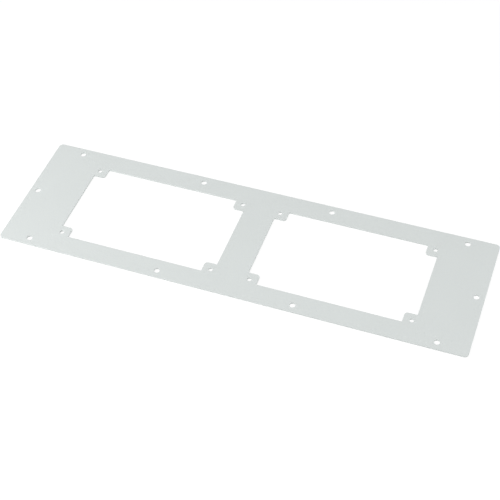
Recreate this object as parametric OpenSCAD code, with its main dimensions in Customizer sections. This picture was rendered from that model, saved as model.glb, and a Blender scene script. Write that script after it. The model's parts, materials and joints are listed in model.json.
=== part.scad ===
// Flange mounting plate: one flat sheet with two windows for cable entry flanges.
// It lies flat. The origin is at the middle of its underside, X runs along it and Z is up.

/* [Plate] */
// Length of the plate, from end to end
plate_l = 596; // [540:1:800]
// Width of the plate, from front to back
plate_w = 177; // [162:1:260]
// Thickness of the sheet
sheet_t = 2; // [1:0.1:5]
// Radius of the four outer corners
corner_r = 5; // [1:0.5:14]
// Width of the broken edge round every outline and hole
edge_break = 0.3; // [0.1:0.05:0.45]

/* [Windows] */
// Number of windows side by side
window_count = 2; // [1:1:2]
// Length of each window
window_l = 209; // [150:1:230]
// Width of each window
window_w = 124; // [80:1:140]
// Width of the bar that is left between two windows
bar_w = 41; // [20:1:70]

/* [Corner tabs] */
// Length of each tab, measured from the short side of its window
tab_l = 15; // [10:0.5:30]
// Width of each tab, measured from the long side of its window
tab_w = 15; // [10:0.5:30]
// Radius of the free corner of each tab
tab_r = 4; // [1:0.5:9]
// Diameter of the hole in each tab
tab_hole_d = 5.3; // [3:0.1:9]
// Distance from the short side of the window to the middle of the tab hole
tab_hole_in_x = 4.5; // [3:0.5:9]
// Distance from the long side of the window to the middle of the tab hole
tab_hole_in_y = 5; // [3:0.5:9]

/* [Rim holes] */
// Diameter of the holes round the rim
rim_hole_d = 7; // [4:0.1:12]
// Distance from the edge of the plate to the middle of a rim hole
rim_hole_in = 10; // [7:0.5:19]
// Number of holes along each long side
row_count = 4; // [2:1:8]
// Distance from the end of the plate to the first hole of a long side
row_end = 38; // [14:1:60]

/* [Hidden] */
window_pitch = window_l + bar_w;
row_pitch = (plate_l - 2 * row_end) / (row_count - 1);
row_y = plate_w / 2 - rim_hole_in;
end_hole_x = plate_l / 2 - rim_hole_in;
// How far a tab runs on under the frame, so that only its free corner shows
tab_root = tab_r + edge_break;
// How far a cutter reaches past both faces
past = 1;
paint = [0.85, 0.865, 0.86];
$fn = 96;

// Half of the section through solid sheet whose edge lies at distance r
function solid_half(r) = [
    [0, 0], [r - edge_break, 0], [r, edge_break],
    [r, sheet_t - edge_break], [r - edge_break, sheet_t], [0, sheet_t]
];

// Half of the section through a cut-out whose wall lies at distance r
function cut_half(r) = let (mouth = r + edge_break + past) [
    [0, -past], [mouth, -past], [r, edge_break],
    [r, sheet_t - edge_break], [mouth, sheet_t + past], [0, sheet_t + past]
];

// A straight run along X of the section whose right half is given
module run(half, length) {
    rotate([90, 0, 90])
    linear_extrude(length, center = true)
    for (side = [0, 1]) mirror([side, 0]) polygon(half);
}

// A rectangle of sheet with round corners and broken edges
module slab(l, w, r) {
    run(solid_half(w / 2), l - 2 * r);
    rotate(90) run(solid_half(l / 2), w - 2 * r);
    at_corners(l / 2 - r, w / 2 - r) rotate_extrude() polygon(solid_half(r));
}

// A rectangular cut-out with broken edges
module window_cut() {
    intersection() {
        run(cut_half(window_w / 2), window_l + window_w);
        rotate(90) run(cut_half(window_l / 2), window_l + window_w);
    }
}

// A round through hole with broken edges
module hole_cut(d) {
    rotate_extrude() polygon(cut_half(d / 2));
}

// The tab at the corner of a window, which grows towards +X and +Y
module tab() {
    translate([(tab_l - tab_root) / 2, (tab_w - tab_root) / 2, 0])
    slab(tab_l + tab_root, tab_w + tab_root, tab_r);
}

// Children at the four corners of a rectangle, each turned to face the middle
module at_corners(x, y) {
    for (i = [0, 1], j = [0, 1])
    mirror([i, 0, 0]) mirror([0, j, 0]) translate([-x, -y, 0]) children();
}

// Children at the middle of each window
module at_windows() {
    for (i = [0 : window_count - 1])
    translate([(i - (window_count - 1) / 2) * window_pitch, 0, 0]) children();
}

// The holes that fasten the plate: a row along each long side and one at each end
module rim_holes() {
    for (i = [0 : row_count - 1], side = [-1, 1])
    translate([-plate_l / 2 + row_end + i * row_pitch, side * row_y, 0]) hole_cut(rim_hole_d);
    for (side = [-1, 1])
    translate([side * end_hole_x, 0, 0]) hole_cut(rim_hole_d);
}

module mounting_plate() {
    color(paint)
    difference() {
        union() {
            difference() {
                slab(plate_l, plate_w, corner_r);
                at_windows() window_cut();
            }
            at_windows() at_corners(window_l / 2, window_w / 2) tab();
        }
        at_windows()
        at_corners(window_l / 2 - tab_hole_in_x, window_w / 2 - tab_hole_in_y)
        hole_cut(tab_hole_d);
        rim_holes();
    }
}

mounting_plate();
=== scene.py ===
import json
import math

import bmesh
import bpy
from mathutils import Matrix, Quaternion, Vector


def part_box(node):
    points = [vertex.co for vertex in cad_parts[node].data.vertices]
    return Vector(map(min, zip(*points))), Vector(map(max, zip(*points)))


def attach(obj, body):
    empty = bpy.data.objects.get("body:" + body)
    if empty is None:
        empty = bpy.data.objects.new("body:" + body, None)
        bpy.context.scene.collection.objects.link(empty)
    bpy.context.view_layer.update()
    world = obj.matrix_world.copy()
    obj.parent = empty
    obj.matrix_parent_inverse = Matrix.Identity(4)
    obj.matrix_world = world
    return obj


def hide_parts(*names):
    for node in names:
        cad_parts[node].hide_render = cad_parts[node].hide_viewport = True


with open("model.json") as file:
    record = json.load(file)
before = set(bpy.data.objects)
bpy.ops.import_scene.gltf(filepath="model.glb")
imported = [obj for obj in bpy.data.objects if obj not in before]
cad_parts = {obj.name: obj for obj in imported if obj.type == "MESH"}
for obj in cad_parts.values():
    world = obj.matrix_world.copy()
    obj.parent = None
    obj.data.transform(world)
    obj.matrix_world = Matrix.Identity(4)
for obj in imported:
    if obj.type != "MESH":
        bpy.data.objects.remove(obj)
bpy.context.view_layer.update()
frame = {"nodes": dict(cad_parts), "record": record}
print("frame loaded:", ", ".join(sorted(frame["nodes"])))

scene = bpy.context.scene
scene.view_settings.view_transform = "Standard"

# the picture's view, worked out from the plate's corners, windows and holes
cameraView = {
    "lens": 83.25,  # mm
    "sensor": 36,  # mm, the width of the picture on it
    "aim": (0.00980, -0.01274, 0.002),  # what lies in the middle of the picture
    "distance": 1.4187,
    "azimuth": 22.455,  # degrees, 0 looks along +Y
    "elevation": 48.529,
    "roll": -3.386,
}


def makeCamera(view):
    camera = bpy.data.objects.new("camera", bpy.data.cameras.new("camera"))
    scene.collection.objects.link(camera)
    camera.data.lens = view["lens"]
    camera.data.sensor_width = view["sensor"]
    azimuth = math.radians(view["azimuth"])
    elevation = math.radians(view["elevation"])
    level = math.cos(elevation)
    back = Vector((math.sin(azimuth) * level, -math.cos(azimuth) * level, math.sin(elevation)))
    camera.location = Vector(view["aim"]) + back * view["distance"]
    camera.rotation_mode = "QUATERNION"
    roll = Quaternion((0, 0, 1), math.radians(view["roll"]))
    camera.rotation_quaternion = (-back).to_track_quat("-Z", "Y") @ roll
    scene.camera = camera


makeCamera(cameraView)
print("camera set")

# the cut-outs and edges, in metres; the outside size and the holes come from the frame
plateShape = {
    "cornerRadius": 0.005,
    "windowLength": 0.209,
    "windowWidth": 0.124,
    "windowPitch": 0.250,
    "tabLength": 0.015,
    "tabWidth": 0.015,
    "tabRadius": 0.004,
    "edgeRound": 0.0003,  # the coat rounds every edge a little
    "edgeSteps": 5,
    "cornerSteps": 14,  # on a quarter turn
    "holeSteps": 64,  # on a full turn
    "sharpAngle": 40,  # degrees, a corner past this keeps its line
}


def arcPoints(middle, radius, startDegrees, endDegrees, steps):
    points = []
    for i in range(steps + 1):
        turn = math.radians(startDegrees + (endDegrees - startDegrees) * i / steps)
        points.append(Vector(middle) + radius * Vector((math.cos(turn), math.sin(turn))))
    return points


# the outside, counterclockwise from above
def rimOutline(halfLength, halfWidth, radius, steps):
    outline = []
    for quarter, (sideX, sideY) in enumerate(((1, -1), (1, 1), (-1, 1), (-1, -1))):
        middle = (sideX * (halfLength - radius), sideY * (halfWidth - radius))
        start = quarter * 90 - 90
        outline += arcPoints(middle, radius, start, start + 90, steps)
    return outline


# a window with a tab in each corner, clockwise from above
def windowOutline(middleX, shape):
    halfLength = shape["windowLength"] / 2
    halfWidth = shape["windowWidth"] / 2
    radius = shape["tabRadius"]
    tabX = halfLength - shape["tabLength"]
    tabY = halfWidth - shape["tabWidth"]
    middle = (tabX + radius, tabY + radius)
    freeCorner = arcPoints(middle, radius, 180, 270, shape["cornerSteps"])
    tab = [Vector((tabX, halfWidth))] + freeCorner + [Vector((halfLength, tabY))]
    outline = []
    for sideX, sideY in ((-1, 1), (1, 1), (1, -1), (-1, -1)):
        corner = [Vector((middleX + sideX * point.x, sideY * point.y)) for point in tab]
        outline += corner if sideX == sideY else reversed(corner)
    return outline


# a round hole, clockwise from above
def holeOutline(middle, radius, steps):
    return arcPoints(middle, radius, 360, 0, steps)[:-1]


# middle and radius of each hole in one of the frame's screw patterns
def patternHoles(mount):
    millimetre = 0.001
    sizes = mount["dims"]
    halfX = sizes["spacing_x_mm"] * millimetre / 2
    halfY = sizes.get("spacing_y_mm", 0) * millimetre / 2
    rows = (-halfY, halfY) if halfY else (0,)
    middleX, middleY = mount["pos_m"][:2]
    radius = sizes["hole_r_mm"] * millimetre
    return [((middleX + x, middleY + y), radius) for x in (-halfX, halfX) for y in rows]


# how far in from the outline, and how high, the edge runs from the top face to the underside
def edgeProfile(radius, thickness, steps):
    upper = []
    for i in range(steps + 1):
        turn = math.radians(90 * i / steps)
        inset = radius * (1 - math.sin(turn))
        upper.append((inset, thickness - radius * (1 - math.cos(turn))))
    return upper + [(inset, thickness - height) for inset, height in reversed(upper)]


# which way is off the sheet at each point, longer at a sharp corner so that both walls stay straight
def outwardSteps(outline):
    steps = []
    for i, point in enumerate(outline):
        before = (point - outline[i - 1]).normalized()
        after = (outline[(i + 1) % len(outline)] - point).normalized()
        off = Vector((before.y + after.y, -before.x - after.x))
        steps.append(off / (1 + before.dot(after)))
    return steps


def sweepEdge(sheet, outline, profile):
    offSheet = outwardSteps(outline)
    rings = []
    for inset, height in profile:
        places = [point - step * inset for point, step in zip(outline, offSheet)]
        rings.append([sheet.verts.new((place.x, place.y, height)) for place in places])
    for upper, lower in zip(rings, rings[1:]):
        for i in range(len(outline)):
            sheet.faces.new((upper[i - 1], lower[i - 1], lower[i], upper[i]))
    return rings[0], rings[-1]


def fillFace(sheet, rings):
    borders = [sheet.edges.get((ring[i - 1], ring[i])) for ring in rings for i in range(len(ring))]
    bmesh.ops.triangle_fill(sheet, use_beauty=True, edges=borders)


def makePlate(shape):
    low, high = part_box("mounting_plate")
    outlines = [rimOutline(high.x, high.y, shape["cornerRadius"], shape["cornerSteps"])]
    for side in (-1, 1):
        outlines.append(windowOutline(side * shape["windowPitch"] / 2, shape))
    for mount in frame["record"]["mounts"]:
        if mount["kind"] == "bolt_pattern":
            for middle, radius in patternHoles(mount):
                outlines.append(holeOutline(middle, radius, shape["holeSteps"]))

    sheet = bmesh.new()
    profile = edgeProfile(shape["edgeRound"], high.z - low.z, shape["edgeSteps"])
    ends = [sweepEdge(sheet, outline, profile) for outline in outlines]
    fillFace(sheet, [top for top, bottom in ends])
    fillFace(sheet, [bottom for top, bottom in ends])
    bmesh.ops.recalc_face_normals(sheet, faces=sheet.faces)

    mesh = bpy.data.meshes.new("coated_plate")
    sheet.to_mesh(mesh)
    sheet.free()
    mesh.shade_smooth()
    mesh.set_sharp_from_angle(angle=math.radians(shape["sharpAngle"]))
    plate = bpy.data.objects.new("coated_plate", mesh)
    scene.collection.objects.link(plate)
    flatFaces = plate.modifiers.new("flatFaces", "WEIGHTED_NORMAL")
    flatFaces.keep_sharp = True
    print("plate made:", len(outlines), "outlines,", len(mesh.polygons), "faces")
    return plate


plate = makePlate(plateShape)

# light grey powder coat, satin, with the fine orange peel of a baked coat; sizes in metres
coatFinish = {
    "tone": frame["record"]["materials"][0]["base_color"][:3],
    "toneDrift": 0.012,  # share that the tone goes up and down
    "toneStops": (0.3, 0.7),  # where in the noise it is darkest and lightest
    "speckShare": 0.35,  # how much of that noise is the specks
    "roughness": (0.42, 0.56),  # lowest and highest, with the peel
    "drift": {"size": 0.060, "detail": 2},
    "specks": {"size": 0.0011, "detail": 1},
    "peel": {"size": 0.0024, "detail": 2, "height": 0.000160},
    "grain": {"size": 0.0007, "detail": 1, "height": 0.000050},
}


def addNoise(tree, place, layer):
    noise = tree.nodes.new("ShaderNodeTexNoise")
    noise.inputs["Scale"].default_value = 1 / layer["size"]
    noise.inputs["Detail"].default_value = layer["detail"]
    tree.links.new(place.outputs["Object"], noise.inputs["Vector"])
    return noise


def addBump(tree, noise, height, under=None):
    bump = tree.nodes.new("ShaderNodeBump")
    bump.inputs["Distance"].default_value = height
    tree.links.new(noise.outputs["Fac"], bump.inputs["Height"])
    if under:
        tree.links.new(under.outputs["Normal"], bump.inputs["Normal"])
    return bump


def makeCoat(finish):
    material = bpy.data.materials.new("powderCoat")
    material.use_nodes = True
    tree = material.node_tree
    shader = tree.nodes["Principled BSDF"]
    place = tree.nodes.new("ShaderNodeTexCoord")

    # slow drift of the tone with small specks in it
    drift = addNoise(tree, place, finish["drift"])
    specks = addNoise(tree, place, finish["specks"])
    both = tree.nodes.new("ShaderNodeMix")
    both.inputs["Factor"].default_value = finish["speckShare"]
    tree.links.new(drift.outputs["Fac"], both.inputs["A"])
    tree.links.new(specks.outputs["Fac"], both.inputs["B"])
    tones = tree.nodes.new("ShaderNodeValToRGB")
    for stop, position, sign in zip(tones.color_ramp.elements, finish["toneStops"], (-1, 1)):
        stop.position = position
        stop.color = [value * (1 + sign * finish["toneDrift"]) for value in finish["tone"]] + [1]
    tree.links.new(both.outputs["Result"], tones.inputs["Fac"])
    tree.links.new(tones.outputs["Color"], shader.inputs["Base Color"])

    # the peel breaks up the gloss as well as the surface
    peel = addNoise(tree, place, finish["peel"])
    gloss = tree.nodes.new("ShaderNodeMapRange")
    gloss.inputs["To Min"].default_value = finish["roughness"][0]
    gloss.inputs["To Max"].default_value = finish["roughness"][1]
    tree.links.new(peel.outputs["Fac"], gloss.inputs["Value"])
    tree.links.new(gloss.outputs["Result"], shader.inputs["Roughness"])
    grain = addNoise(tree, place, finish["grain"])
    grainBump = addBump(tree, grain, finish["grain"]["height"])
    peelBump = addBump(tree, peel, finish["peel"]["height"], grainBump)
    tree.links.new(peelBump.outputs["Normal"], shader.inputs["Normal"])
    return material


plate.data.materials.append(makeCoat(coatFinish))
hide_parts("mounting_plate")
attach(plate, "root")
print("coat on")

# a white sweep under the plate
floorLook = {
    "size": 12.0,
    "drop": 0.0001,  # just clear of the underside
    "tone": 0.85,  # what it throws back on the plate
    "seenTone": 0.25,  # what the camera sees of the light and shadow on it
    "lift": 0.80,  # and what is added to that, so that the ground is white
    "fade": (0.6, 1.4),  # how far out it starts to turn plain white, and is
}


# a factor that is 1 where the camera looks at it, straight or by gloss or glass, and 0 for light
def addSeen(tree):
    rays = tree.nodes.new("ShaderNodeLightPath")
    seen = rays.outputs["Is Camera Ray"]
    for kind in ("Is Glossy Ray", "Is Transmission Ray"):
        either = tree.nodes.new("ShaderNodeMath")
        either.operation = "MAXIMUM"
        tree.links.new(seen, either.inputs[0])
        tree.links.new(rays.outputs[kind], either.inputs[1])
        seen = either.outputs["Value"]
    return seen


def makeSweep(look):
    material = bpy.data.materials.new("whiteSweep")
    material.use_nodes = True
    tree = material.node_tree
    tree.nodes.remove(tree.nodes["Principled BSDF"])
    matt = tree.nodes.new("ShaderNodeBsdfDiffuse")
    matt.inputs["Color"].default_value = (look["tone"],) * 3 + (1,)
    shaded = tree.nodes.new("ShaderNodeBsdfDiffuse")
    shaded.inputs["Color"].default_value = (look["seenTone"],) * 3 + (1,)
    glow = tree.nodes.new("ShaderNodeEmission")
    glow.inputs["Strength"].default_value = look["lift"]
    lifted = tree.nodes.new("ShaderNodeAddShader")
    tree.links.new(shaded.outputs["BSDF"], lifted.inputs[0])
    tree.links.new(glow.outputs["Emission"], lifted.inputs[1])

    # the ground far out is as white as the sky behind it, so no horizon shows
    place = tree.nodes.new("ShaderNodeTexCoord")
    farOut = tree.nodes.new("ShaderNodeVectorMath")
    farOut.operation = "LENGTH"
    tree.links.new(place.outputs["Object"], farOut.inputs[0])
    fade = tree.nodes.new("ShaderNodeMapRange")
    fade.inputs["From Min"].default_value = look["fade"][0]
    fade.inputs["From Max"].default_value = look["fade"][1]
    tree.links.new(farOut.outputs["Value"], fade.inputs["Value"])
    white = tree.nodes.new("ShaderNodeEmission")
    ground = tree.nodes.new("ShaderNodeMixShader")
    tree.links.new(fade.outputs["Result"], ground.inputs["Fac"])
    tree.links.new(lifted.outputs["Shader"], ground.inputs[1])
    tree.links.new(white.outputs["Emission"], ground.inputs[2])

    pick = tree.nodes.new("ShaderNodeMixShader")
    tree.links.new(addSeen(tree), pick.inputs["Fac"])
    tree.links.new(matt.outputs["BSDF"], pick.inputs[1])
    tree.links.new(ground.outputs["Shader"], pick.inputs[2])
    tree.links.new(pick.outputs["Shader"], tree.nodes["Material Output"].inputs["Surface"])
    return material


def makeFloor(look):
    half = look["size"] / 2
    mesh = bpy.data.meshes.new("floor")
    corners = [(-half, -half, 0), (half, -half, 0), (half, half, 0), (-half, half, 0)]
    mesh.from_pydata(corners, [], [(0, 1, 2, 3)])
    mesh.materials.append(makeSweep(look))
    floor = bpy.data.objects.new("floor", mesh)
    scene.collection.objects.link(floor)
    floor.location.z = -look["drop"]


makeFloor(floorLook)
print("floor laid")

# a key from the front left and a weaker fill from the right, with an even sky round them
studioLight = {
    "sky": 0.40,
    "aim": (0.0, 0.0, 0.0),
    "key": {"place": (-1.00, -0.75, 0.90), "size": 1.2, "power": 17.4},  # watts
    "fill": {"place": (1.35, 0.10, 1.20), "size": 1.2, "power": 12.0},
}


def addSoftbox(name, studio):
    data = bpy.data.lights.new(name, "AREA")
    data.shape = "SQUARE"
    data.size = studio[name]["size"]
    data.energy = studio[name]["power"]
    softbox = bpy.data.objects.new(name, data)
    scene.collection.objects.link(softbox)
    softbox.location = studio[name]["place"]
    toAim = Vector(studio["aim"]) - softbox.location
    softbox.rotation_mode = "QUATERNION"
    softbox.rotation_quaternion = toAim.to_track_quat("-Z", "Y")


def makeLight(studio):
    addSoftbox("key", studio)
    addSoftbox("fill", studio)

    world = bpy.data.worlds.new("sky")
    scene.world = world
    world.use_nodes = True
    tree = world.node_tree
    sky = tree.nodes["Background"]
    sky.inputs["Color"].default_value = (1, 1, 1, 1)
    sky.inputs["Strength"].default_value = studio["sky"]
    white = tree.nodes.new("ShaderNodeBackground")
    white.inputs["Color"].default_value = (1, 1, 1, 1)
    pick = tree.nodes.new("ShaderNodeMixShader")
    tree.links.new(addSeen(tree), pick.inputs["Fac"])
    tree.links.new(sky.outputs["Background"], pick.inputs[1])
    tree.links.new(white.outputs["Background"], pick.inputs[2])
    tree.links.new(pick.outputs["Shader"], tree.nodes["World Output"].inputs["Surface"])


makeLight(studioLight)
print("lights on")
